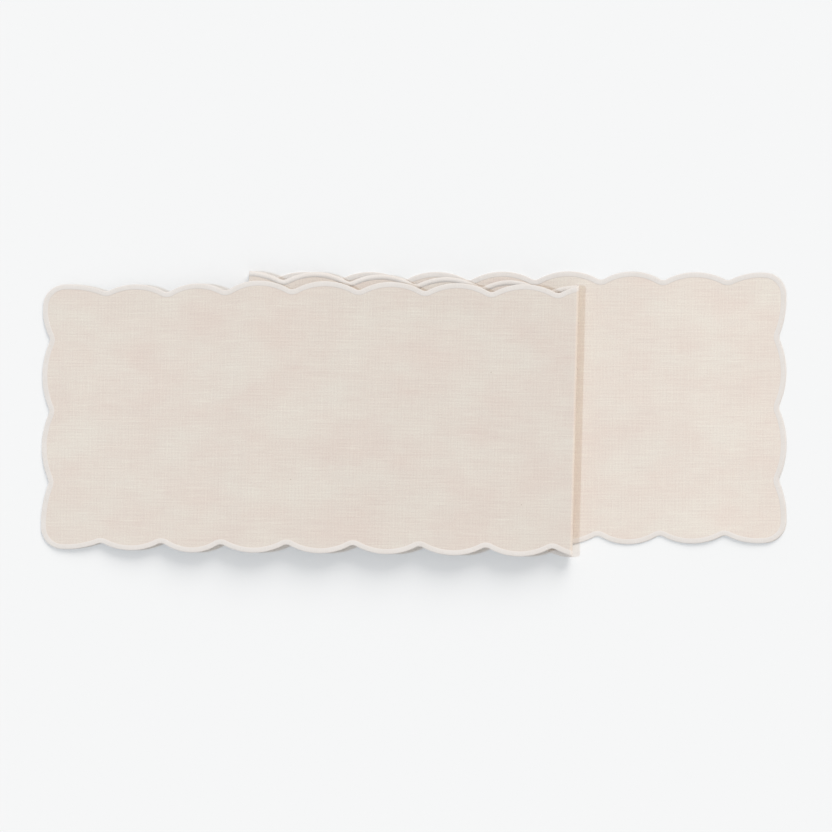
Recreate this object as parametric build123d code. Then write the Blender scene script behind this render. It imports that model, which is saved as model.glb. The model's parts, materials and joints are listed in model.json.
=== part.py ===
from build123d import *
import os
from math import cos, hypot, radians, sin, sqrt

# Scalloped linen table runner, folded in three like a Z and lying flat.
#
# The cloth is drawn flat, as it is when it is pulled open, and is then folded up: each panel is
# turned about the fold lines between it and the lowest panel. Lengths are in mm, angles in degrees.
# Flat frame: X along the runner with its right end at RIGHT_END, Y across it, Z up.

# Cloth
WIDTH = 356.0  # across the runner, crest to crest
LINEN = 0.9  # thickness of the linen
BORDER = 1.5  # thickness of the satin-stitched border
BAND = 7.0  # width of the border
FLOOR_Z = BORDER / 2  # height of a panel's middle when its border lies on the table

# Scallops
LOBE = 86.4  # length of a regular lobe on the lowest and middle panels
TOP_LOBE = 86.9  # length of a regular lobe on the upper panel
RIGHT_LOBES = (77.0, 86.5, 81.0)  # the first lobes from the right end
LEFT_LOBES = (77.0, 84.0, 77.0)  # the first lobes from the left end
REGULAR_RIGHT = 5  # regular lobes on the lowest panel
REGULAR_MIDDLE = 4  # regular lobes on the middle panel
REGULAR_LEFT = 5  # regular lobes on the upper panel
LEFT_FOLD_LOBE = 90.9  # the lobe that the left fold crosses
RIGHT_FOLD_LOBE = 87.3  # the lobe that the right fold crosses
RISE = 12.5  # height of a long-side lobe above its chord
NOTCH = 10.0  # radius of the hollow between two long-side lobes
CORNER = 29.0  # radius of the corners
CORNER_REACH = 35.0  # from a corner's two sides to the crests of its lobe
RIGHT_CORNER_RISE = 10.5  # height of those crests above the first long-side hollows
LEFT_CORNER_RISE = 8.0
RIGHT_NOTCHES = (85.0, 177.5, 273.0)  # hollows on the right end, from the back edge
LEFT_NOTCHES = (74.5, 171.0, 266.0)  # hollows on the left end
END_RISE = 10.5  # height of a short-side lobe above its chord
END_NOTCH = 12.0  # radius of the hollow between two short-side lobes

# Folds
RIGHT_END = 488.0  # X of the lowest panel's scalloped end
CENTRE_Y = 9.4  # Y of the runner's centre line
LOOP = 10.0  # radius of the soft loop at each fold
SLOPE = 2.42  # slope of the middle panel, from the left fold down to the right one
LEFT_FOLD_AT = 695.8  # from the right end to where the left fold's loop starts
MIDDLE_LENGTH = 408.4  # flat part of the middle panel
TOP_LENGTH = 415.0  # upper panel, from the right fold's loop to its crest over the left fold
LEFT_FOLD_ANGLE = 88.85  # direction of the left fold line in plan, from X
RIGHT_FOLD_ANGLE = 89.125  # direction of the right fold line on the flat cloth
CREST_ANGLE = 89.4  # direction of the crest line on the flat cloth
DROOP = 4.75  # slope of the overhanging end, from the crest down to the table
CREST_GAP = 0.4  # between the upper panel and the overhanging end, so that they can bend
LOOP_GAP = 0.3  # angle left open at each end of a loop, so that it stays clear of its panels
REACH = 260.0  # half length of the cutting shapes, more than half the width

TURN = 90 + SLOPE / 2  # bend at each of the two lines of a fold
SPINE = 2 * LOOP * (1 + radians(SLOPE) / 2)  # between the two lines of a fold


def from_right(s):
    """X of a place on the flat cloth, s from the right end."""
    return RIGHT_END - s


class Line:
    """A line across the flat cloth, at s from the right end on the centre line."""

    def __init__(self, s, angle):
        self.x = from_right(s)
        self.angle = angle
        self.dx = cos(radians(angle))
        self.dy = sin(radians(angle))

    def point(self, along):
        return (self.x + along * self.dx, CENTRE_Y + along * self.dy)

    def axis(self):
        return Axis((self.x, CENTRE_Y, FLOOR_Z), (self.dx, self.dy, 0))


left_start = Line(LEFT_FOLD_AT, LEFT_FOLD_ANGLE)
left_lower = Line(LEFT_FOLD_AT + LOOP, LEFT_FOLD_ANGLE)
left_upper = Line(LEFT_FOLD_AT + LOOP + SPINE, LEFT_FOLD_ANGLE)
left_end = Line(LEFT_FOLD_AT + 2 * LOOP + SPINE, LEFT_FOLD_ANGLE)
RIGHT_FOLD_AT = LEFT_FOLD_AT + 2 * LOOP + SPINE + MIDDLE_LENGTH
right_start = Line(RIGHT_FOLD_AT, RIGHT_FOLD_ANGLE)
right_lower = Line(RIGHT_FOLD_AT + LOOP, RIGHT_FOLD_ANGLE)
right_upper = Line(RIGHT_FOLD_AT + LOOP + SPINE, RIGHT_FOLD_ANGLE)
right_end = Line(RIGHT_FOLD_AT + 2 * LOOP + SPINE, RIGHT_FOLD_ANGLE)
CREST_AT = RIGHT_FOLD_AT + 2 * LOOP + SPINE + TOP_LENGTH
crest = Line(CREST_AT, CREST_ANGLE)

# Each fold line with its bend, from the lowest panel outwards. The left fold turns the cloth up
# and over, the right fold turns it back, and the crest lets the overhanging end down.
LEFT_LOWER_BEND = (left_lower, TURN)
LEFT_UPPER_BEND = (left_upper, TURN)
RIGHT_LOWER_BEND = (right_lower, -TURN)
RIGHT_UPPER_BEND = (right_upper, -TURN)
CREST_BEND = (crest, -DROOP)
CHAIN = [LEFT_LOWER_BEND, LEFT_UPPER_BEND, RIGHT_LOWER_BEND, RIGHT_UPPER_BEND, CREST_BEND]


def notch_places():
    """Distances of the long-side hollows from the right end."""
    lobes = list(RIGHT_LOBES) + [LOBE] * REGULAR_RIGHT + [LEFT_FOLD_LOBE]
    lobes += [LOBE] * REGULAR_MIDDLE + [RIGHT_FOLD_LOBE]
    lobes += [TOP_LOBE] * REGULAR_LEFT + list(reversed(LEFT_LOBES))
    places = [sum(lobes[: i + 1]) for i in range(len(lobes))]
    return places[:-1], places[-1]


NOTCHES, LENGTH = notch_places()
LEFT_END = from_right(LENGTH)
BACK = CENTRE_Y + WIDTH / 2
FRONT = CENTRE_Y - WIDTH / 2


def lobe_radius(half_chord, rise):
    return (half_chord**2 + rise**2) / (2 * rise)


def hollow(a, b, radius, outward):
    """The circle that rounds the hollow between lobes a and b, on their outward side."""
    (ax, ay, ar), (bx, by, br) = a, b
    reach_a, reach_b = ar + radius, br + radius
    gap = hypot(bx - ax, by - ay)
    ux, uy = (bx - ax) / gap, (by - ay) / gap
    along = (gap**2 + reach_a**2 - reach_b**2) / (2 * gap)
    away = sqrt(reach_a**2 - along**2)
    nx, ny = -uy, ux
    if nx * outward[0] + ny * outward[1] < 0:
        nx, ny = uy, -ux
    return (ax + along * ux + away * nx, ay + along * uy + away * ny, -radius)


def with_hollows(lobes, radius, outward):
    """Lobes in order, with a hollow between each two."""
    circles = [lobes[0]]
    for a, b in zip(lobes, lobes[1:]):
        circles += [hollow(a, b, radius, outward), b]
    return circles


def long_side(y, inward):
    """Circles of one long side from right to left, between its corners."""
    first = lobe_radius(NOTCHES[0] - CORNER_REACH, RIGHT_CORNER_RISE)
    last = lobe_radius(LENGTH - NOTCHES[-1] - CORNER_REACH, LEFT_CORNER_RISE)
    lobes = [(RIGHT_END - CORNER_REACH, y + inward * first, first)]
    for s0, s1 in zip(NOTCHES, NOTCHES[1:]):
        radius = lobe_radius((s1 - s0) / 2, RISE)
        lobes.append((from_right((s0 + s1) / 2), y + inward * radius, radius))
    lobes.append((LEFT_END + CORNER_REACH, y + inward * last, last))
    return with_hollows(lobes, NOTCH, (0, -inward))


def short_side(x, inward, notches):
    """Circles of one short side from back to front, between its corners."""
    first = lobe_radius(notches[0] - CORNER_REACH, END_RISE)
    last = lobe_radius(WIDTH - notches[-1] - CORNER_REACH, END_RISE)
    lobes = [(x + inward * first, BACK - CORNER_REACH, first)]
    for t0, t1 in zip(notches, notches[1:]):
        radius = lobe_radius((t1 - t0) / 2, END_RISE)
        lobes.append((x + inward * radius, BACK - (t0 + t1) / 2, radius))
    lobes.append((x + inward * last, FRONT + CORNER_REACH, last))
    return with_hollows(lobes, END_NOTCH, (-inward, 0))


def corner(a, b, outward):
    """The circle that rounds a corner, just inside the last lobes of its two sides."""
    return hollow(a, b, -CORNER, outward)


def outline(inset):
    """Face of the whole flat runner, drawn in by inset all round."""
    back, front = long_side(BACK, -1), long_side(FRONT, 1)
    left = short_side(LEFT_END, 1, LEFT_NOTCHES)
    right = short_side(RIGHT_END, -1, RIGHT_NOTCHES)
    circles = back + [corner(back[-1], left[0], (-1, 1))]
    circles += left + [corner(left[-1], front[-1], (-1, -1))]
    circles += front[::-1] + [corner(front[0], right[-1], (1, -1))]
    circles += right[::-1] + [corner(right[0], back[0], (1, 1))]
    normals = []
    for (ax, ay, ar), (bx, by, br) in zip(circles, circles[1:] + circles[:1]):
        normals.append(((ax - bx) / (br - ar), (ay - by) / (br - ar)))
    edges = []
    for i, (cx, cy, r) in enumerate(circles):
        n0, n1 = normals[i - 1], normals[i]
        size = hypot(n0[0] + n1[0], n0[1] + n1[1])
        mid = ((n0[0] + n1[0]) / size, (n0[1] + n1[1]) / size)
        ends = [(cx + (r - inset) * n[0], cy + (r - inset) * n[1]) for n in (n0, mid, n1)]
        edges.append(ThreePointArc(*ends))
    return make_face(Wire(edges).edges())


def edge_along(line, side):
    """How far along a line across the cloth the back (1) or front (-1) edge lies."""
    circles = long_side(BACK if side > 0 else FRONT, -side)
    along = side * WIDTH / 2
    for _ in range(8):
        x = line.point(along)[0]
        spans = [(abs(x - cx) / abs(r), cx, cy, r) for cx, cy, r in circles]
        highest = []
        for share, cx, cy, r in spans:
            if share < 1 and r > 0:
                highest.append(side * cy + sqrt(r**2 - (x - cx) ** 2))
        along = side * (max(highest) - side * CENTRE_Y) / line.dy
    return along


def strip(start, end):
    """Face of everything between two lines across the cloth."""
    corners = [start.point(REACH), end.point(REACH), end.point(-REACH), start.point(-REACH)]
    return make_face(Polyline(*corners, close=True).edges())


def plate(face, thickness):
    """A face given its thickness, half on each side of the cloth's middle."""
    solid = extrude(face, amount=thickness / 2, dir=(0, 0, 1), both=True)
    return solid.moved(Location((0, 0, FLOOR_Z)))


def folded(shape, bends):
    """A shape on the flat cloth, turned by its bends to where it lies when folded."""
    for line, angle in reversed(bends):
        shape = shape.rotate(line.axis(), angle)
    return shape


def panel(name, start, end, bends, parts):
    """The linen and border of one panel between two lines. parts names the border's strips."""
    region = strip(start, end)
    nodes = {f"{name}_linen": plate(INNER & region, LINEN)}
    ring = (OUTER - INNER) & region
    for part, cutter in parts.items():
        nodes[f"{name}_border_{part}"] = plate(ring & cutter, BORDER)
    return {n: folded(s, bends) for n, s in nodes.items()}


def half(side, x_low, x_high):
    """Face of the back (1) or front (-1) half of the cloth between two X."""
    far = CENTRE_Y + side * REACH
    points = [(x_low, CENTRE_Y), (x_high, CENTRE_Y), (x_high, far), (x_low, far)]
    return make_face(Polyline(*points, close=True).edges())


def end_cutters(x_end, inward):
    """Border strips of a panel with a scalloped end: its two long sides and its end."""
    inner, outer = x_end + inward * CORNER_REACH, x_end - inward * REACH
    far = x_end + inward * 2000
    low, high = CENTRE_Y - REACH, CENTRE_Y + REACH
    points = [(inner, low), (outer, low), (outer, high), (inner, high)]
    return {
        "back": half(1, inner, far),
        "front": half(-1, inner, far),
        "end": make_face(Polyline(*points, close=True).edges()),
    }


def side_cutters():
    return {"back": half(1, -2500, 1000), "front": half(-1, -2500, 1000)}


def ring_sector(inner, outer):
    """The loop's ring seen from the front of the runner, made long across the cloth."""
    first = 270 - LOOP_GAP
    sweep = 180 + SLOPE - 2 * LOOP_GAP
    rim = {}
    for name, r in (("in", inner), ("out", outer)):
        for share in (0, 0.5, 1):
            a = radians(first - sweep * share)
            rim[name, share] = (r * cos(a), 0, LOOP + r * sin(a))
    edges = [
        ThreePointArc(*[rim["in", share] for share in (0, 0.5, 1)]),
        Edge.make_line(rim["in", 1], rim["out", 1]),
        ThreePointArc(*[rim["out", share] for share in (1, 0.5, 0)]),
        Edge.make_line(rim["out", 0], rim["in", 0]),
    ]
    return extrude(make_face(Wire(edges).edges()), amount=REACH, dir=(0, 1, 0), both=True)


def side_block(reaches, inset, side):
    """The space inward of the loop's scalloped edge, whose reach changes round the loop."""
    low, mid, high = [reach - side * inset for reach in reaches]
    far, under, over = -side * REACH, -2 * LOOP, 4 * LOOP
    corners = [(0, high, 2 * LOOP), (0, high, over), (0, far, over)]
    corners += [(0, far, under), (0, low, under), (0, low, 0)]
    edges = [ThreePointArc((0, low, 0), (0, mid, LOOP), (0, high, 2 * LOOP))]
    edges += [Edge.make_line(a, b) for a, b in zip(corners, corners[1:])]
    return extrude(make_face(Wire(edges).edges()), amount=4 * LOOP, dir=(1, 0, 0), both=True)


def loop(name, start, end, upward, bends):
    """The cloth of one fold, a soft half loop that leaves its panel upward or downward."""
    middle = Line(RIGHT_END - (start.x + end.x) / 2, start.angle)
    linen = ring_sector(LOOP - LINEN / 2, LOOP + LINEN / 2)
    thick = ring_sector(LOOP - BORDER / 2, LOOP + BORDER / 2)
    nodes = {}
    for side, part in ((1, "back"), (-1, "front")):
        reaches = [edge_along(line, side) for line in (start, middle, end)]
        outer, inner = side_block(reaches, 0, side), side_block(reaches, BAND, side)
        linen = linen & inner
        nodes[f"{name}_border_{part}"] = (thick & outer) - inner
    nodes[f"{name}_linen"] = linen
    placed = {}
    for node, solid in nodes.items():
        if not upward:
            solid = solid.mirror(Plane.XY)
        solid = solid.rotate(Axis.Z, start.angle - 90)
        solid = solid.moved(Location((start.x, CENTRE_Y, FLOOR_Z)))
        placed[node] = folded(solid, bends)
    return placed


OUTER = outline(0)
INNER = outline(BAND)
right_edge = Line(-50, 90)
left_edge = Line(LENGTH + 50, 90)
crest_right = Line(CREST_AT - CREST_GAP / 2, CREST_ANGLE)
crest_left = Line(CREST_AT + CREST_GAP / 2, CREST_ANGLE)

nodes = {}
nodes |= panel("bottom", right_edge, left_start, [], end_cutters(RIGHT_END, -1))
nodes |= loop("left_fold", left_start, left_end, True, [])
nodes |= panel("middle", left_end, right_start, CHAIN[:2], side_cutters())
nodes |= loop("right_fold", right_start, right_end, False, CHAIN[:2])
nodes |= panel("top", right_end, crest_right, CHAIN[:4], side_cutters())
nodes |= panel("overhang", crest_left, left_edge, CHAIN, end_cutters(LEFT_END, 1))

# The frame's origin is under the middle of the folded runner.
box = Compound(children=list(nodes.values())).bounding_box()
SHIFT = (-(box.min.X + box.max.X) / 2, -(box.min.Y + box.max.Y) / 2, -box.min.Z)

os.makedirs("parts", exist_ok=True)
for name, shape in nodes.items():
    solid = shape.solids()[0].moved(Location(SHIFT))
    solid.label = name
    export_step(solid, f"parts/{name}.step")
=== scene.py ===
"""Scalloped linen table runner with a satin-stitched border, folded in three and lying on a table.

The cloth is drawn flat, as it lies when the runner is pulled open, and place() then folds it along
the CAD model's own hinges. Lengths are in metres.
"""

import json
import math

import bpy
import numpy as np
from mathutils import Matrix, Vector
from mathutils.geometry import delaunay_2d_cdt

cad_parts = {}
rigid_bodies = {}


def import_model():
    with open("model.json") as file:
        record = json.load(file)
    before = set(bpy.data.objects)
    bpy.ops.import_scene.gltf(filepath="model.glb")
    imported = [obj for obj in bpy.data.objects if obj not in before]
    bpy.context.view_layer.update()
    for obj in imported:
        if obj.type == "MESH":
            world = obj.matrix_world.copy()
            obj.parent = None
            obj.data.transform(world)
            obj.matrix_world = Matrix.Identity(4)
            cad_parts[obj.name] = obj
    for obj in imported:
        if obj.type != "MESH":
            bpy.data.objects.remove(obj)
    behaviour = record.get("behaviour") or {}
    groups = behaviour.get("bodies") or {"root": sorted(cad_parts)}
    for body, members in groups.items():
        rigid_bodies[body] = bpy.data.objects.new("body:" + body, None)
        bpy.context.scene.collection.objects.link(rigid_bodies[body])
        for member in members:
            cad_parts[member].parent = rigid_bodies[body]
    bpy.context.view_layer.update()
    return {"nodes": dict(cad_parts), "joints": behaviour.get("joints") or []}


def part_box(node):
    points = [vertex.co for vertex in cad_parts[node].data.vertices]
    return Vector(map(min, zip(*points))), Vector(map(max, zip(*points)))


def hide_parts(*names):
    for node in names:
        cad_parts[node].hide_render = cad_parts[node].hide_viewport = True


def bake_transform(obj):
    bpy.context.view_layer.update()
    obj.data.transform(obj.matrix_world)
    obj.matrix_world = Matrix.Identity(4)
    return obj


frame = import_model()

# Cloth and border
WIDTH = 0.356
BAND = 0.007  # width of the border
CLOTH_Z = 0.00075  # height of the cloth's middle when it lies on the table
LINEN = 0.0006  # thickness of the linen
LINEN_EDGE = 0.0045  # how far inside the runner's edge the linen ends, hidden in the border
LOOP = 0.010  # how far before its first bend and past its last one a fold's own stretch reaches
BEND = 0.0025  # how far from each hinge the cloth bends: so near that it lies flat when opened
LEFT_BOW = 0.0004  # how far the left fold's face bows outwards between its two bends
RIGHT_BOW = 0.0015  # how far the right fold's does

# Scallops, as in the CAD model: lengths of the lobes along the long sides, from the right end
LOBES = [0.077, 0.0865, 0.081] + [0.0864] * 5 + [0.0909] + [0.0864] * 4
LOBES += [0.0873] + [0.0869] * 5 + [0.077, 0.084, 0.077]
RISE = 0.0125  # height of a long-side lobe above its chord
NOTCH = 0.010  # radius of the hollow between two long-side lobes
CORNER = 0.029  # radius of the corners
CORNER_REACH = 0.035  # from a corner's two sides to the crests of its lobe
RIGHT_CORNER_RISE = 0.0105  # height of those crests above the first long-side hollows
LEFT_CORNER_RISE = 0.008
RIGHT_NOTCHES = (0.085, 0.1775, 0.273)  # hollows on the right end, from the back edge
LEFT_NOTCHES = (0.0745, 0.171, 0.266)  # hollows on the left end
END_RISE = 0.0105  # height of a short-side lobe above its chord
END_NOTCH = 0.012  # radius of the hollow between two short-side lobes

# Mesh
STITCH = 0.0012  # pitch of the raised stitches along the border
STITCH_STEPS = 4  # points along each stitch
GRID = 0.006  # spacing of the linen's points
FINE_GRID = 0.0009  # spacing where the cloth bends round a fold
RIM_SPACING = 0.002  # spacing of the linen's points along the edge
RINGS = (0.0066, 0.0074, 0.0084)  # insets of the rows of points where the border meets the linen
RING_ENDS = 8  # edge points left out at each end of those rows, beside the seams
INNER = 0.011  # how far inside the runner's edge the grid of points starts
WELL_INSIDE = 0.012  # inset given to all points that aren't near the edge
SHARP = 80  # faces that meet at more than this many degrees keep a sharp edge

# Places on the flat cloth
low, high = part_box("bottom_border_end")
RIGHT_END = high.x
CENTRE_Y = (low.y + high.y) / 2
BACK = CENTRE_Y + WIDTH / 2
FRONT = CENTRE_Y - WIDTH / 2
LEFT_END = RIGHT_END - sum(LOBES)


# ---------------------------------------------------------------- folding


def turn(joint):
    """4x4 matrix that opens a joint as far as it goes, in the frame at rest."""
    centre = Vector(joint["pos_m"])
    angle = math.radians(joint["range_deg"][1])
    spin = Matrix.Rotation(angle, 4, Vector(joint["axis"]))
    return Matrix.Translation(centre) @ spin @ Matrix.Translation(-centre)


JOINTS = {joint["name"]: joint for joint in frame["joints"]}
OPENED = {"bottom": Matrix.Identity(4)}
for joint in frame["joints"]:
    OPENED[joint["child"]] = OPENED[joint["parent"]] @ turn(joint)


class Line:
    """A line across the flat cloth. shift moves it along the runner, towards the left end."""

    def __init__(self, x, direction, shift=0.0):
        self.direction = np.array(direction, float) / np.linalg.norm(direction)
        if self.direction[1] < 0:
            self.direction = -self.direction
        self.left = np.array([-self.direction[1], self.direction[0]])
        self.start = np.array([x, CENTRE_Y]) + shift * self.left

    def beyond(self, flat):
        """How far points lie past the line, towards the left end."""
        return (flat - self.start) @ self.left

    def points(self, along):
        return self.start + np.outer(along, self.direction)


def hinge_line(name, shift=0.0):
    """Where a hinge lies on the flat cloth."""
    joint = JOINTS[name]
    matrix = OPENED[joint["parent"]]
    at = matrix @ Vector(joint["pos_m"])
    direction = matrix.to_3x3() @ Vector(joint["axis"])
    x = at.x + (CENTRE_Y - at.y) * direction.x / direction.y
    return Line(x, direction[:2], shift)


def between(a, b, share):
    """The line a share of the way from line a to line b."""
    line = Line(0, a.direction + (b.direction - a.direction) * share)
    line.start = a.start + (b.start - a.start) * share
    return line


left_start = hinge_line("left_fold_lower_bend", -LOOP)
left_end = hinge_line("left_fold_upper_bend", LOOP)
right_start = hinge_line("right_fold_lower_bend", -LOOP)
right_end = hinge_line("right_fold_upper_bend", LOOP)
crest = hinge_line("overhang_bend")
LOOP_SPAN = left_start.beyond(left_end.start)
TURN = math.radians(JOINTS["left_fold_lower_bend"]["range_deg"][1])  # of each of a fold's bends
BEND_RADIUS = BEND / math.tan(TURN / 2)  # of the arc that each bend follows
BENDS = (LOOP, LOOP_SPAN - LOOP)  # how far past a fold's start its two hinges lie
CREST_REACH = 0.025  # half the stretch over which the cloth bends down at the crest


def moved(matrix, points):
    """Points moved by a 4x4 matrix."""
    m = np.array(matrix)
    return points @ m[:3, :3].T + m[:3, 3]


def spun(points, centre, axis, angles):
    """Points turned about an axis, each by its own angle."""
    p = points - centre
    c, s = np.cos(angles)[:, None], np.sin(angles)[:, None]
    along = np.outer(p @ axis, axis)
    return centre + p * c + np.cross(axis, p) * s + along * (1 - c)


def smooth(t):
    """0 up to 0, 1 from 1, and an even step between them."""
    t = np.clip(t, 0, 1)
    return t * t * (3 - 2 * t)


def rising(value, start, fade):
    """0 up to a start, and 1 from a fade's length beyond it."""
    return smooth((value - start) / fade)


def fold_path(past, bow):
    """Where a fold goes: distance along its panel, rise from it, and heading, at places past its
    start. It turns round both hinges, and its face bows out between them."""
    first, second = BENDS
    turned = [TURN * np.clip((past - bend + BEND) / (2 * BEND), 0, 1) for bend in BENDS]
    along, rise = np.minimum(past, first - BEND), np.zeros(len(past))
    for number, angle in enumerate(turned):
        before = TURN * number
        heading = before + angle
        along += BEND_RADIUS * (np.sin(heading) - math.sin(before))
        rise += BEND_RADIUS * (math.cos(before) - np.cos(heading))
        stop = second - BEND if number == 0 else LOOP_SPAN
        straight = np.clip(past, BENDS[number] + BEND, stop) - BENDS[number] - BEND
        along += straight * math.cos(before + TURN)
        rise += straight * math.sin(before + TURN)
    heading = turned[0] + turned[1]
    out = bow * np.sin(math.pi * np.clip((past - first) / (second - first), 0, 1)) ** 2
    return along + out * np.sin(heading), rise - out * np.cos(heading), heading


def curled(flat, height, start, upward, bow):
    """Points of a fold, curled up or down from where it starts on its flat panel."""
    past = start.beyond(flat)
    along, rise, heading = fold_path(past, bow)
    inward = upward * height
    foot = flat - np.outer(past, start.left)
    plan = foot + np.outer(along - inward * np.sin(heading), start.left)
    level = upward * (rise + inward * np.cos(heading))
    return np.column_stack([plan, CLOTH_Z + level])


def place(flat, height):
    """Where points of the flat cloth lie when it is folded, at a height above its middle."""
    left, right = left_start.beyond(flat), right_start.beyond(flat)
    folding = {body: OPENED[body].inverted() for body in OPENED}
    out = np.column_stack([flat, CLOTH_Z + height])
    middle = (left > LOOP_SPAN) & (right <= 0)
    out[middle] = moved(folding["middle"], out[middle])
    in_left = (left > 0) & (left <= LOOP_SPAN)
    out[in_left] = curled(flat[in_left], height[in_left], left_start, 1, LEFT_BOW)
    in_right = (right > 0) & (right <= LOOP_SPAN)
    curl = curled(flat[in_right], height[in_right], right_start, -1, RIGHT_BOW)
    out[in_right] = moved(folding["middle"], curl)
    top = right > LOOP_SPAN
    out[top] = moved(folding["top"], out[top])
    joint = JOINTS["overhang_bend"]
    droop = math.radians(joint["range_deg"][1])
    share = rising(crest.beyond(flat[top]), -CREST_REACH, 2 * CREST_REACH)
    out[top] = spun(out[top], np.array(joint["pos_m"]), np.array(joint["axis"]), -droop * share)
    return out


# ---------------------------------------------------------------- outline


def lobe_radius(half_chord, rise):
    return (half_chord**2 + rise**2) / (2 * rise)


def hollow(a, b, radius, outward):
    """The circle that rounds the hollow between lobes a and b, on their outward side."""
    (ax, ay, ar), (bx, by, br) = a, b
    reach_a, reach_b = ar + radius, br + radius
    gap = math.hypot(bx - ax, by - ay)
    ux, uy = (bx - ax) / gap, (by - ay) / gap
    along = (gap**2 + reach_a**2 - reach_b**2) / (2 * gap)
    away = math.sqrt(reach_a**2 - along**2)
    nx, ny = -uy, ux
    if nx * outward[0] + ny * outward[1] < 0:
        nx, ny = uy, -ux
    return (ax + along * ux + away * nx, ay + along * uy + away * ny, -radius)


def with_hollows(lobes, radius, outward):
    circles = [lobes[0]]
    for a, b in zip(lobes, lobes[1:]):
        circles += [hollow(a, b, radius, outward), b]
    return circles


def long_side(y, inward):
    """Circles of one long side from right to left, between its corners."""
    places = np.cumsum(LOBES)[:-1]
    first = lobe_radius(LOBES[0] - CORNER_REACH, RIGHT_CORNER_RISE)
    last = lobe_radius(LOBES[-1] - CORNER_REACH, LEFT_CORNER_RISE)
    lobes = [(RIGHT_END - CORNER_REACH, y + inward * first, first)]
    for s0, s1 in zip(places, places[1:]):
        radius = lobe_radius((s1 - s0) / 2, RISE)
        lobes.append((RIGHT_END - (s0 + s1) / 2, y + inward * radius, radius))
    lobes.append((LEFT_END + CORNER_REACH, y + inward * last, last))
    return with_hollows(lobes, NOTCH, (0, -inward))


def short_side(x, inward, notches):
    """Circles of one short side from back to front, between its corners."""
    first = lobe_radius(notches[0] - CORNER_REACH, END_RISE)
    last = lobe_radius(WIDTH - notches[-1] - CORNER_REACH, END_RISE)
    lobes = [(x + inward * first, BACK - CORNER_REACH, first)]
    for t0, t1 in zip(notches, notches[1:]):
        radius = lobe_radius((t1 - t0) / 2, END_RISE)
        lobes.append((x + inward * radius, BACK - (t0 + t1) / 2, radius))
    lobes.append((x + inward * last, FRONT + CORNER_REACH, last))
    return with_hollows(lobes, END_NOTCH, (-inward, 0))


def corner(a, b, outward):
    """The circle that rounds a corner, just inside the last lobes of its two sides."""
    return hollow(a, b, -CORNER, outward)


def contour(step):
    """Points round the runner's edge, as rows of circle x, y, signed radius and outward normal."""
    back, front = long_side(BACK, -1), long_side(FRONT, 1)
    left = short_side(LEFT_END, 1, LEFT_NOTCHES)
    right = short_side(RIGHT_END, -1, RIGHT_NOTCHES)
    circles = back + [corner(back[-1], left[0], (-1, 1))]
    circles += left + [corner(left[-1], front[-1], (-1, -1))]
    circles += front[::-1] + [corner(front[0], right[-1], (1, -1))]
    circles += right[::-1] + [corner(right[0], back[0], (1, 1))]
    circles = np.array(circles)
    after = np.roll(circles, -1, axis=0)
    joins = (circles[:, :2] - after[:, :2]) / (after[:, 2] - circles[:, 2])[:, None]
    rows = []
    for circle, start, end in zip(circles, np.roll(joins, 1, axis=0), joins):
        first = math.atan2(start[1], start[0])
        sweep = (math.atan2(end[1], end[0]) - first + math.pi) % (2 * math.pi) - math.pi
        count = max(2, math.ceil(abs(sweep * (circle[2] - BAND / 2)) / step))
        angles = first + sweep * np.arange(count) / count
        normals = np.column_stack([np.cos(angles), np.sin(angles)])
        rows.append(np.hstack([np.tile(circle, (count, 1)), normals]))
    return np.vstack(rows)


def at_inset(rows, inset):
    return rows[:, :2] + (rows[:, 2] - inset)[:, None] * rows[:, 3:]


EDGE = contour(STITCH / STITCH_STEPS)
MID_BAND = at_inset(EDGE, BAND / 2)
STEPS = np.linalg.norm(np.diff(MID_BAND, axis=0, append=MID_BAND[:1]), axis=1)
ALONG = np.concatenate([[0], np.cumsum(STEPS)[:-1]])
AROUND = STEPS.sum()


def cut(line):
    """Numbers of the edge points nearest a line across the cloth, at its back and its front."""
    off = np.abs(line.beyond(MID_BAND))
    back = MID_BAND[:, 1] > CENTRE_Y
    return int(np.argmin(np.where(back, off, 1))), int(np.argmin(np.where(back, 1, off)))


# Seams between the pieces: at the sides of the two folds, half way along the hidden middle panel,
# and on the flat top before its crest.
SEAM_BEFORE_CREST = 0.06
SEAMS = [
    between(left_start, left_end, 0.5),
    between(left_end, right_start, 0.5),
    between(right_start, right_end, 0.5),
    hinge_line("overhang_bend", -SEAM_BEFORE_CREST),
]
CUTS = [cut(line) for line in SEAMS]


def chains(section):
    """Numbers of the edge points along each stretch of one section's edge."""
    count = len(EDGE)
    if section == 0:
        back, front = CUTS[0]
        return [np.arange(front, count + back + 1) % count]
    if section == len(SEAMS):
        back, front = CUTS[-1]
        return [np.arange(back, front + 1)]
    (back0, front0), (back1, front1) = CUTS[section - 1], CUTS[section]
    return [np.arange(back0, back1 + 1), np.arange(front1, front0 + 1)]


# ---------------------------------------------------------------- drape


def ripple(flat, waves):
    """A sum of long waves on the cloth, never below 0. Each is a height, length, heading, phase."""
    total = np.zeros(len(flat))
    for height, length, heading, phase in waves:
        way = np.array([math.cos(heading), math.sin(heading)])
        total += height * (1 + np.sin(2 * math.pi * (flat @ way) / length + phase)) / 2
    return total


BROAD_WAVES = [
    (0.0007, 0.31, 0.35, 0.4),
    (0.0005, 0.19, -0.9, 2.1),
    (0.0004, 0.13, 1.3, 4.0),
    (0.0002, 0.071, 0.1, 1.0),
]
EDGE_WAVES = [(0.0007, 0.21, 0.0, 1.1), (0.0005, 0.127, 0.2, 3.7)]
EDGE_WAVES_REACH = 0.05  # how far in from the long edges they reach

# How high the waves stand on each stretch of cloth, beside the heights above
HIDDEN_SHARE = 0.25  # on the lowest panel, under the others
MIDDLE_SHARE = 2.5
OVERHANG_SHARE = 0.8

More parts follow.
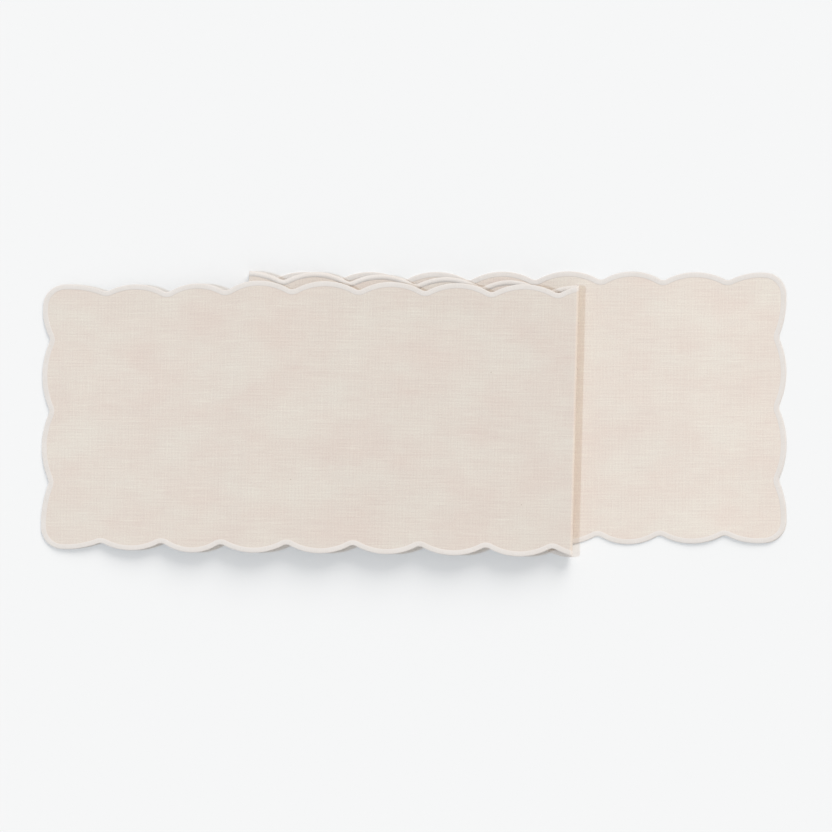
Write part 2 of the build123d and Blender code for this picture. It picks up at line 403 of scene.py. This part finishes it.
# Where the waves rise from nothing, and over how long a stretch
HIGH_FOLD_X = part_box("right_fold_linen")[1].x
OPEN_START, OPEN_FADE = HIGH_FOLD_X + 0.008, 0.05  # on the open end of the lowest panel
HIDDEN_FADE = 0.06
MIDDLE_STOP, MIDDLE_FADE = 0.39, 0.12
TOP_FADE = 0.05
CREST_START, CREST_FADE = 0.06, 0.08  # on the top, short of its crest
OVERHANG_FADE = 0.06


def lift(flat):
    """How far the cloth stands above its flat panels: more in the open, nothing at the folds."""
    past_left, past_right = left_start.beyond(flat), right_start.beyond(flat)
    past_crest = crest.beyond(flat)
    open_end = rising(flat[:, 0], OPEN_START, OPEN_FADE)
    hidden = HIDDEN_SHARE * rising(-past_left, 0, HIDDEN_FADE) * (1 - open_end)
    middle = MIDDLE_SHARE * rising(past_left - LOOP_SPAN, 0, MIDDLE_FADE)
    middle *= rising(LOOP_SPAN - past_left, -MIDDLE_STOP, MIDDLE_FADE)
    middle *= rising(-past_right, 0, MIDDLE_FADE)
    top = rising(past_right, LOOP_SPAN, TOP_FADE) * rising(-past_crest, CREST_START, CREST_FADE)
    overhang = OVERHANG_SHARE * rising(past_crest, CREST_REACH, OVERHANG_FADE)
    share = open_end + hidden + middle + top + overhang
    from_edge = WIDTH / 2 - np.abs(flat[:, 1] - CENTRE_Y)
    edge = ripple(flat, EDGE_WAVES) * smooth(1 - from_edge / EDGE_WAVES_REACH)
    return share * (ripple(flat, BROAD_WAVES) + edge)


# Small differences in width, each a change and the stretch of cloth that it comes on over
END_SHARE = 0.974  # width of the left end beside the rest, where the cloth is drawn in
END_STRETCH = 0.22
END_CURVE = 0.6  # below 1, most of that comes just past the crest
BROADENED = 0.005  # beside the fold, where the lowest panel is broadest
BROAD_X, BROAD_REACH = 0.21, 0.12
NARROWED = 0.004  # at the right end
NARROW_X, NARROW_STRETCH = 0.3, 0.1

# Small slips
SKEW = 0.0024  # how far the edges have slipped along the cloth, back and front in opposite ways
SKEW_FADE = 0.06  # from the runner's two ends
PANEL_FADE = 0.1  # from the middle panel's two ends, where there is no such slip
SIDEWAYS = 0.0025  # how far the top lies towards the back, beside its crest
SIDEWAYS_FADE = 0.07  # past the crest
SIDEWAYS_FAR = 0.3  # share of it at the right end of the top
SIDEWAYS_START, SIDEWAYS_STRETCH = -0.4, 0.28  # past the crest, where it grows to all of it
MIDDLE_SIDEWAYS = 0.0040  # how far the middle panel lies towards the back
MIDDLE_START, MIDDLE_STRETCH = -0.06, 0.22  # past the left fold's start, where it comes on


def bell(value, centre, width):
    return np.exp(-(((value - centre) / width) ** 2))


def sideways(flat):
    """How far the top and the middle panels lie towards the back."""
    past_left, past_right = left_start.beyond(flat), right_start.beyond(flat)
    past_crest = crest.beyond(flat)
    along_top = rising(past_crest, SIDEWAYS_START, SIDEWAYS_STRETCH)
    near_crest = rising(-past_crest, -SIDEWAYS_FADE, SIDEWAYS_FADE)
    near_crest *= SIDEWAYS_FAR + (1 - SIDEWAYS_FAR) * along_top
    on_middle = rising(past_left, MIDDLE_START, MIDDLE_STRETCH) * rising(-past_right, 0, PANEL_FADE)
    top = SIDEWAYS * near_crest * rising(past_right, 0, LOOP_SPAN)
    return top + MIDDLE_SIDEWAYS * on_middle


def width_share(flat):
    """The cloth's width as a share of its full width."""
    along = flat[:, 0]
    share = 1 - (1 - END_SHARE) * rising(crest.beyond(flat), 0, END_STRETCH) ** END_CURVE
    share += BROADENED * bell(along, BROAD_X, BROAD_REACH)
    return share - NARROWED * rising(along, NARROW_X, NARROW_STRETCH)


def drawn(flat):
    """The flat cloth with the small differences in width and line that it has taken on."""
    along, across = flat[:, 0], flat[:, 1] - CENTRE_Y
    to_end = np.minimum(RIGHT_END - along, along - LEFT_END)
    on_middle = rising(left_start.beyond(flat), 0, PANEL_FADE)
    on_middle *= rising(-right_start.beyond(flat), 0, PANEL_FADE)
    skew = SKEW * rising(to_end, 0, SKEW_FADE) * (1 - on_middle)
    out = flat.copy()
    out[:, 0] += skew * across / (WIDTH / 2)
    out[:, 1] = CENTRE_Y + across * width_share(flat) + sideways(flat)
    return out


# ---------------------------------------------------------------- meshes


def new_object(name, vertices, faces, flat, inset=None):
    """A mesh object with a UV map in metres and, if given, how far each point is from the edge."""
    mesh = bpy.data.meshes.new(name)
    mesh.from_pydata(vertices.tolist(), [], faces)
    mesh.update()
    loops = np.zeros(len(mesh.loops), np.int32)
    mesh.loops.foreach_get("vertex_index", loops)
    uv = mesh.uv_layers.new(name="cloth")
    uv.data.foreach_set("uv", flat[loops].astype(np.float32).ravel())
    if inset is not None:
        attribute = mesh.attributes.new("inset", "FLOAT", "POINT")
        attribute.data.foreach_set("value", inset.astype(np.float32))
    mesh.shade_smooth()
    mesh.set_sharp_from_angle(angle=math.radians(SHARP))
    obj = bpy.data.objects.new(name, mesh)
    bpy.context.scene.collection.objects.link(obj)
    return obj


def thinned(chain, spacing):
    """Every so many points of a chain, with both its ends."""
    keep = max(2, round(len(chain) * STITCH / STITCH_STEPS / spacing))
    return chain[np.round(np.linspace(0, len(chain) - 1, keep)).astype(int)]


def seam_points(seam, inset):
    """Points across the cloth between a seam's two ends, which both its pieces share."""
    back, front = at_inset(EDGE[list(CUTS[seam])], inset)
    count = round(np.linalg.norm(back - front) / GRID)
    share = np.arange(1, count)[:, None] / count
    return back + (front - back) * share


def section_loop(section, inset, spacing):
    """The closed outline of one section's linen, counter-clockwise."""
    edges = [at_inset(EDGE[thinned(chain, spacing)], inset) for chain in chains(section)]
    if section == 0:
        return np.vstack([edges[0], seam_points(0, inset)])
    if section == len(SEAMS):
        return np.vstack([edges[0], seam_points(section - 1, inset)[::-1]])
    left, right = seam_points(section, inset), seam_points(section - 1, inset)[::-1]
    return np.vstack([edges[0], left, edges[1], right])


def inside(points, loop):
    """Which points lie inside a closed outline."""
    odd = np.zeros(len(points), bool)
    for (x0, y0), (x1, y1) in zip(loop, np.roll(loop, -1, axis=0)):
        if y0 == y1:
            continue
        crosses = (points[:, 1] < y0) != (points[:, 1] < y1)
        x = x0 + (points[:, 1] - y0) * (x1 - x0) / (y1 - y0)
        odd ^= crosses & (points[:, 0] < x)
    return odd


def columns(stops):
    """Lines across the cloth between stops, each a line and the spacing that follows it."""
    lines = []
    for (a, spacing), (b, _) in zip(stops, stops[1:]):
        count = max(1, round(a.beyond(b.start) / spacing))
        lines += [between(a, b, i / count) for i in range(count)]
    return lines[1:]


def section_columns(section):
    """The lines of one section's grid, from its right end to its left."""
    right_edge = Line(RIGHT_END, (0, 1))
    left_edge = Line(LEFT_END, (0, 1))
    stops = [
        [(right_edge, GRID), (left_start, FINE_GRID), (SEAMS[0], 0)],
        [(SEAMS[0], FINE_GRID), (left_end, GRID), (SEAMS[1], 0)],
        [(SEAMS[1], GRID), (right_start, FINE_GRID), (SEAMS[2], 0)],
        [(SEAMS[2], FINE_GRID), (right_end, GRID), (SEAMS[3], 0)],
        [(SEAMS[3], GRID), (left_edge, 0)],
    ]
    return columns(stops[section])


def linen_points(section):
    """Points inside one section of linen, with how far each is from the runner's edge."""
    half = math.ceil(WIDTH / 2 / GRID)
    along = np.arange(-half, half + 1) * GRID
    grid = np.vstack([line.points(along) for line in section_columns(section)])
    grid = grid[inside(grid, section_loop(section, INNER, GRID / 2))]
    points, insets = [grid], [np.full(len(grid), WELL_INSIDE)]
    for ring in RINGS:
        for chain in chains(section):
            rows = EDGE[thinned(chain[RING_ENDS:-RING_ENDS], RIM_SPACING)]
            points.append(at_inset(rows, ring))
            insets.append(np.full(len(rows), ring))
    return np.vstack(points), np.concatenate(insets)


def triangulated(loop, points):
    """A closed outline filled with triangles: points, faces, and what each point was given as."""
    rim = [(i, (i + 1) % len(loop)) for i in range(len(loop))]
    given = [Vector(p) for p in np.vstack([loop, points])]
    made = delaunay_2d_cdt(given, rim, [], 1, 1e-7)
    flat = np.array([v[:] for v in made[0]])
    return flat, [list(face) for face in made[2]], made[3]


def make_linen(section, name):
    """One section of the linen: two surfaces, its thickness apart, closed round the rim."""
    loop = section_loop(section, LINEN_EDGE, RIM_SPACING)
    points, insets = linen_points(section)
    on_seam = np.min([np.abs(line.beyond(loop)) for line in SEAMS], axis=0) < RIM_SPACING
    rim_inset = np.where(on_seam, WELL_INSIDE, LINEN_EDGE)
    inset = np.concatenate([rim_inset, insets])
    flat, faces, sources = triangulated(loop, points)
    inset = np.array([inset[given[0]] for given in sources])
    new_number = {i: k for k, given in enumerate(sources) for i in given}
    ring = [new_number[i] for i in range(len(loop))]
    count = len(flat)
    shape = drawn(flat)
    top = place(shape, lift(flat) + LINEN / 2)
    under = place(shape, lift(flat) - LINEN / 2)
    solid = faces + [[i + count for i in reversed(face)] for face in faces]
    solid += [[b, a, a + count, b + count] for a, b in zip(ring, ring[1:] + ring[:1])]
    vertices, uv = np.vstack([top, under]), np.vstack([flat, flat])
    return new_object(name, vertices, solid, uv, np.tile(inset, 2))


# The border's section, from its outer edge over the top and back underneath: how far in from the
# edge, and how high above or below the middle of the cloth
BORDER_SECTION = np.array(
    [
        (0.00000, 0.00000),
        (0.00018, 0.00036),
        (0.00070, 0.00053),
        (0.00200, 0.00061),
        (0.00370, 0.00062),
        (0.00530, 0.00058),
        (0.00630, 0.00049),
        (0.00680, 0.00037),
        (0.00700, 0.00020),
        (0.00660, -0.00050),
        (0.00350, -0.00068),
        (0.00060, -0.00055),
    ]
)
FLANK = 0.0003  # the border's sides lie below this height, and have no raised stitches
STITCH_HEIGHT = 0.00012
STITCH_DRIFT = 1.7  # how far the stitches drift to and fro along the border, in radians
DRIFTS = 97  # how often they do so, all round the runner
UNEVEN = 0.25  # how much their height varies
UNEVEN_TURNS = 211  # how often it does, all round the runner


def stitch_relief(chain):
    """Height of the raised stitches at each point along a stretch of the border."""
    phase = 2 * math.pi * ALONG[chain] / STITCH
    turn_round = 2 * math.pi * ALONG[chain] / AROUND
    drift = STITCH_DRIFT * np.sin(DRIFTS * turn_round)
    height = 1 - UNEVEN + UNEVEN * np.sin(UNEVEN_TURNS * turn_round + 1)
    return STITCH_HEIGHT * height * np.sin(phase + drift)


def band_mesh(chain):
    """Vertices on the flat cloth, their heights, UVs and faces, for one stretch of the border."""
    rows, relief = EDGE[chain], stitch_relief(chain)
    flat, height, uv = [], [], []
    for inset, level in BORDER_SECTION:
        crown = math.sqrt(math.sin(math.pi * inset / BAND)) if level > FLANK else 0
        flat.append(at_inset(rows, inset))
        height.append(level + relief * crown)
        uv.append(np.column_stack([ALONG[chain], np.full(len(chain), inset)]))
    count, sides = len(chain), len(BORDER_SECTION)
    faces = []
    for j in range(sides):
        k = (j + 1) % sides
        for i in range(count - 1):
            faces.append([j * count + i, j * count + i + 1, k * count + i + 1, k * count + i])
    faces.append([j * count for j in range(sides)])
    faces.append([j * count + count - 1 for j in reversed(range(sides))])
    return np.vstack(flat), np.concatenate(height), np.vstack(uv), faces


def make_border(section, name):
    """The border of one section: a raised, rounded band of stitches over the cloth's edge."""
    flats, heights, uvs, faces = [], [], [], []
    for chain in chains(section):
        offset = sum(len(f) for f in flats)
        flat, height, uv, quads = band_mesh(chain)
        flats.append(flat)
        heights.append(height)
        uvs.append(uv)
        faces += [[i + offset for i in face] for face in quads]
    flat, height, uv = np.vstack(flats), np.concatenate(heights), np.vstack(uvs)
    vertices = place(drawn(flat), lift(flat) + height)
    return new_object(name, vertices, faces, uv)


# ---------------------------------------------------------------- materials


class Nodes:
    """Short calls for building one material's node tree."""

    def __init__(self, name):
        self.material = bpy.data.materials.new(name)
        self.material.use_nodes = True
        self.tree = self.material.node_tree
        self.shader = self.tree.nodes["Principled BSDF"]

    def add(self, kind, settings=None, **inputs):
        node = self.tree.nodes.new("ShaderNode" + kind)
        for key, value in (settings or {}).items():
            setattr(node, key, value)
        for key, value in inputs.items():
            self.feed(node.inputs[key.replace("_", " ")], value)
        return node

    def feed(self, socket, value):
        if isinstance(value, bpy.types.NodeSocket):
            self.tree.links.new(value, socket)
        else:
            socket.default_value = value

    def math(self, operation, a, b=0.0, c=0.0):
        node = self.add("Math", {"operation": operation})
        for socket, value in zip(node.inputs, (a, b, c)):
            self.feed(socket, value)
        return node.outputs[0]

    def noise(self, vector, scale, detail=2.0, roughness=0.5):
        node = self.add("TexNoise", Vector=vector, Scale=scale, Detail=detail, Roughness=roughness)
        return node.outputs[0]

    def stretched(self, vector, x, y):
        """The vector divided by a length in each direction."""
        node = self.add("VectorMath", {"operation": "MULTIPLY"})
        self.feed(node.inputs[0], vector)
        self.feed(node.inputs[1], (1 / x, 1 / y, 1))
        return node.outputs[0]

    def streaks(self, vector, lengths, detail=1.0):
        """Noise whose marks have these lengths along and across the runner."""
        return self.noise(self.stretched(vector, *lengths), 1.0, detail)

    def ramp(self, value, low_in, high_in, low_out=0.0, high_out=1.0):
        """A value taken from one range to another, and kept inside it."""
        node = self.add("MapRange")
        for socket, setting in zip(node.inputs[:5], (value, low_in, high_in, low_out, high_out)):
            self.feed(socket, setting)
        return node.outputs[0]

    def mix(self, share, a, b):
        node = self.add("Mix", {"data_type": "RGBA"})
        self.feed(node.inputs[0], share)
        self.feed(node.inputs[6], a)
        self.feed(node.inputs[7], b)
        return node.outputs[2]

    def scaled(self, colour, share):
        """A colour made lighter or darker by a share."""
        node = self.add("VectorMath", {"operation": "SCALE"})
        self.feed(node.inputs[0], colour)
        self.feed(node.inputs[3], share)
        return node.outputs[0]

    def tinted(self, colour, share, tint):
        """A colour made lighter or darker by a share, by its own amount in each channel."""
        factor = self.add("VectorMath", {"operation": "MULTIPLY_ADD"})
        for socket, value in zip(factor.inputs, (share, tint, (1, 1, 1))):
            self.feed(socket, value)
        node = self.add("VectorMath", {"operation": "MULTIPLY"})
        self.feed(node.inputs[0], colour)
        self.feed(node.inputs[1], factor.outputs[0])
        return node.outputs[0]

    def bump(self, height, strength, distance):
        node = self.add("Bump", Strength=strength, Distance=distance, Height=height)
        self.feed(self.shader.inputs["Normal"], node.outputs[0])

    def set(self, **values):
        for key, value in values.items():
            self.feed(self.shader.inputs[key.replace("_", " ")], value)


LINEN_CREAM = (0.667, 0.612, 0.547, 1)
LINEN_PINK = (0.652, 0.568, 0.508, 1)
WEAVE_TINT = (1.0, 1.43, 1.29)  # how much the weave varies the red, green and blue of the cloth
THREAD_LINE = (0.56, 0.44, 0.37, 1)
FLECK_COLOUR = (0.25, 0.17, 0.12, 1)
FLECK_STRENGTH = 0.35
RIB = 0.0044  # spacing of the weave's faint ribs
WAVE_RATE = 20  # radians that the wave texture turns through in a unit of length at scale 1
THREAD_RELIEF = 0.0002

# Lengths of the linen's marks along and across the runner
BLOTCHES = (0.085, 0.055)
FINE_WEFT = (0.040, 0.0009)
FINE_WARP = (0.0009, 0.034)
WIDE_WEFT = (0.120, 0.0024)
WIDE_WARP = (0.0024, 0.100)
SLUB_WEFT = (0.050, 0.0013)
SLUB_WARP = (0.0013, 0.060)

# Painted light: a single layer over the pale table is painted a little lighter than the stack,
# standing in for the table's light showing through the cloth: how much, and the stretches of the
# flat cloth over which it comes on
RIGHT_PAINTED_LIGHT, RIGHT_PAINTED_LIGHT_STRETCH = 1.08, (-0.12, 0.40)
LEFT_PAINTED_LIGHT, LEFT_PAINTED_LIGHT_STRETCH = 1.04, (-0.95, LEFT_END)


def weave_shade(n, uv, fine_weft, fine_warp):
    """How much lighter or darker than its mean the linen's weave is."""
    shade = 0.0
    for pattern, mean, strength in (
        (fine_weft, 0.5, 0.125),
        (fine_warp, 0.5, 0.06),
        (n.streaks(uv, WIDE_WEFT), 0.5, 0.05),
        (n.streaks(uv, WIDE_WARP), 0.5, 0.025),
        (n.noise(uv, 600.0, 1.0), 0.5, 0.17),
        (n.ramp(n.streaks(uv, SLUB_WEFT, 0.0), 0.70, 0.78), 0.0, 0.045),
        (n.ramp(n.streaks(uv, SLUB_WARP, 0.0), 0.74, 0.80), 0.0, 0.03),
    ):
        above = n.math("SUBTRACT", pattern, mean)
        shade = n.math("MULTIPLY_ADD", above, strength, shade)
    return shade


def with_flecks(n, uv, colour):
    """A colour with a few small dark flecks."""
    cells = n.add("TexVoronoi", Vector=uv, Scale=32.0)
    fleck = n.ramp(cells.outputs["Distance"], 0.022, 0.034, 1.0, 0.0)
    rare = n.ramp(n.noise(uv, 11.0, 0.0), 0.56, 0.60)
    share = n.math("MULTIPLY", n.math("MULTIPLY", fleck, rare), FLECK_STRENGTH)
    return n.mix(share, colour, FLECK_COLOUR)


def ribs(n, uv, direction):
    """Faint even ribs in the weave."""
    settings = {"bands_direction": direction}
    scale = 2 * math.pi / RIB / WAVE_RATE
    return n.add("TexWave", settings, Vector=uv, Scale=scale, Distortion=0.4).outputs["Fac"]


def linen_material():
    n = Nodes("linen")
    uv = n.add("UVMap", {"uv_map": "cloth"}).outputs[0]
    along = n.add("SeparateXYZ", Vector=uv).outputs["X"]
    fine_weft, fine_warp = n.streaks(uv, FINE_WEFT), n.streaks(uv, FINE_WARP)
    # painted light: the single layers at the right and left ends are made lighter, standing in for
    # the table's light showing through
    right = n.ramp(along, *RIGHT_PAINTED_LIGHT_STRETCH, 1.0, RIGHT_PAINTED_LIGHT)
    left = n.ramp(along, *LEFT_PAINTED_LIGHT_STRETCH, 1.0, LEFT_PAINTED_LIGHT)
    blotch = n.ramp(n.noise(n.stretched(uv, *BLOTCHES), 1.0, 4.0, 0.6), 0.33, 0.67)
    colour = with_flecks(n, uv, n.mix(blotch, LINEN_CREAM, LINEN_PINK))
    colour = n.tinted(colour, weave_shade(n, uv, fine_weft, fine_warp), WEAVE_TINT)
    colour = n.scaled(colour, n.math("MULTIPLY", right, left))
    inset = n.add("Attribute", {"attribute_name": "inset"}).outputs["Fac"]
    line = n.ramp(inset, 0.0071, 0.0079, 0.12, 0.0)
    colour = n.mix(line, colour, THREAD_LINE)
    n.set(Base_Color=colour, Roughness=0.92, Specular_IOR_Level=0.2, Sheen_Weight=0.08)
    n.set(Sheen_Roughness=0.6)
    weave = n.math("ADD", ribs(n, uv, "X"), ribs(n, uv, "Y"))
    height = n.math("MULTIPLY_ADD", weave, 0.35, n.math("ADD", fine_weft, fine_warp))
    n.bump(height, 0.5, THREAD_RELIEF)
    return n.material


SATIN_COLOUR = (0.715, 0.675, 0.640, 1)
SATIN_SHADE = (0.655, 0.605, 0.560, 1)
SATIN_THREADS = (0.0005, 0.006)  # lengths of its threads' marks, along and across the border
SATIN_PATCHES = (0.030, 0.020)


def satin_material():
    n = Nodes("satin_stitch")
    uv = n.add("UVMap", {"uv_map": "cloth"}).outputs[0]
    inset = n.add("SeparateXYZ", Vector=uv).outputs["Y"]
    threads = n.streaks(uv, SATIN_THREADS)
    patches = n.streaks(uv, SATIN_PATCHES)
    share = n.math("MULTIPLY_ADD", n.math("SUBTRACT", threads, 0.5), 1.6, 0.35)
    share = n.math("MULTIPLY_ADD", n.math("SUBTRACT", patches, 0.5), 0.8, share)
    colour = n.mix(n.ramp(share, 0.0, 1.0), SATIN_COLOUR, SATIN_SHADE)
    line = n.ramp(inset, 0.0062, 0.0069, 0.0, 0.15)
    colour = n.mix(line, colour, THREAD_LINE)
    n.set(Base_Color=colour, Roughness=0.62, Specular_IOR_Level=0.35, Sheen_Weight=0.05)
    n.bump(threads, 0.35, THREAD_RELIEF)
    return n.material


# ---------------------------------------------------------------- pieces

linen = linen_material()
satin = satin_material()

# Each section's name, the bodies it bends between, the start of the names of the CAD nodes that it
# stands for, how it is held, and the sections that it rests on
SECTIONS = [
    ("bottom", ("bottom", "left_fold"), ["bottom", "left_fold"], "laid", []),
    ("left_turn", ("left_fold", "middle"), ["middle"], "folded", ["bottom"]),
    ("right_turn", ("middle", "right_fold"), ["right_fold"], "folded", ["bottom"]),
    ("top", ("right_fold", "top"), ["top"], "folded", ["right_turn", "left_turn"]),
    ("overhang", ("top", "overhang"), ["overhang"], "folded", ["left_turn"]),
]


def bend_points(start, bend, reach):
    """Where the cloth starts and stops bending round a hinge that lies past a line."""
    flat = start.start + np.outer([bend - reach, bend + reach], start.left)
    return [Vector(p) for p in place(flat, np.zeros(2))]


BLENDS = [bend_points(start, bend, BEND) for start in (left_start, right_start) for bend in BENDS]
BLENDS.append(bend_points(crest, 0, CREST_REACH))


def stood_for(starts, part):
    """The CAD nodes of one part, linen or border, on the bodies that a section stands for."""
    return [node for node in frame["nodes"] if part in node and node.split("_" + part)[0] in starts]


def make_section(number, name, bodies, starts, held, under):
    """One section of the runner: its linen and its border."""
    cloth = make_linen(number, "linen_" + name)
    border = make_border(number, "border_" + name)
    for piece, part, slot, material in (
        (cloth, "linen", "linen", linen),
        (border, "border", "satin_stitch", satin),
    ):
        piece.data.materials.append(material)
        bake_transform(piece)
        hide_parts(*stood_for(starts, part))


for number, section in enumerate(SECTIONS):
    make_section(number, *section)


# ---------------------------------------------------------------- floor, light and camera

FLOOR_COLOUR = (0.815, 0.815, 0.812, 1)
FLOOR_HALF = 30.0  # half its side


def floor_material():
    n = Nodes("floor")
    n.set(Base_Color=FLOOR_COLOUR, Roughness=1.0, Specular_IOR_Level=0.0)
    return n.material


def make_floor():
    half = FLOOR_HALF
    corners = [(-half, -half, 0), (half, -half, 0), (half, half, 0), (-half, half, 0)]
    mesh = bpy.data.meshes.new("floor")
    mesh.from_pydata(corners, [], [(0, 1, 2, 3)])
    mesh.materials.append(floor_material())
    obj = bpy.data.objects.new("floor", mesh)
    bpy.context.scene.collection.objects.link(obj)


SKY = 0.575  # even light from all round, a little warm
WARM = (1.0, 0.95, 0.90)
NEUTRAL = (1.0, 0.97, 0.94)
COOL = (0.60, 0.80, 1.0)

# Suns: name, strength, colour, height in degrees, heading that it comes from in degrees from +X
# towards +Y, width in degrees, and whether it leaves a shadow
SUNS = [
    ("key", 1.75, NEUTRAL, 33, 70, 40, True),
    ("window", 0.89, COOL, 63, 180, 4, True),
    ("right_fill", 0.95, WARM, 10, 0, 4, False),
    ("left_fill", 0.90, WARM, 10, 180, 4, False),
]


def make_sun(name, energy, colour, height, heading, width, shadow):
    lamp = bpy.data.lights.new(name, "SUN")
    lamp.energy = energy
    lamp.color = colour
    lamp.angle = math.radians(width)
    lamp.use_shadow = shadow
    sun = bpy.data.objects.new(name, lamp)
    sun.rotation_euler = (0, math.radians(90 - height), math.radians(heading))
    bpy.context.scene.collection.objects.link(sun)


def make_lights():
    world = bpy.data.worlds.new("studio")
    bpy.context.scene.world = world
    world.use_nodes = True
    background = world.node_tree.nodes["Background"]
    background.inputs["Color"].default_value = (*WARM, 1)
    background.inputs["Strength"].default_value = SKY
    for sun in SUNS:
        make_sun(*sun)


VIEW_WIDTH = 1.0893  # across the picture, on the floor
VIEW_CENTRE = (0.0033, -0.0020)
CAMERA_HEIGHT = 16.0


def make_camera():
    data = bpy.data.cameras.new("camera")
    data.sensor_width = 36
    data.lens = data.sensor_width * CAMERA_HEIGHT / VIEW_WIDTH
    data.clip_end = 100
    camera = bpy.data.objects.new("camera", data)
    camera.location = (*VIEW_CENTRE, CAMERA_HEIGHT)
    bpy.context.scene.collection.objects.link(camera)
    bpy.context.scene.camera = camera


make_floor()
make_lights()
make_camera()
bpy.context.scene.view_settings.view_transform = "Standard"
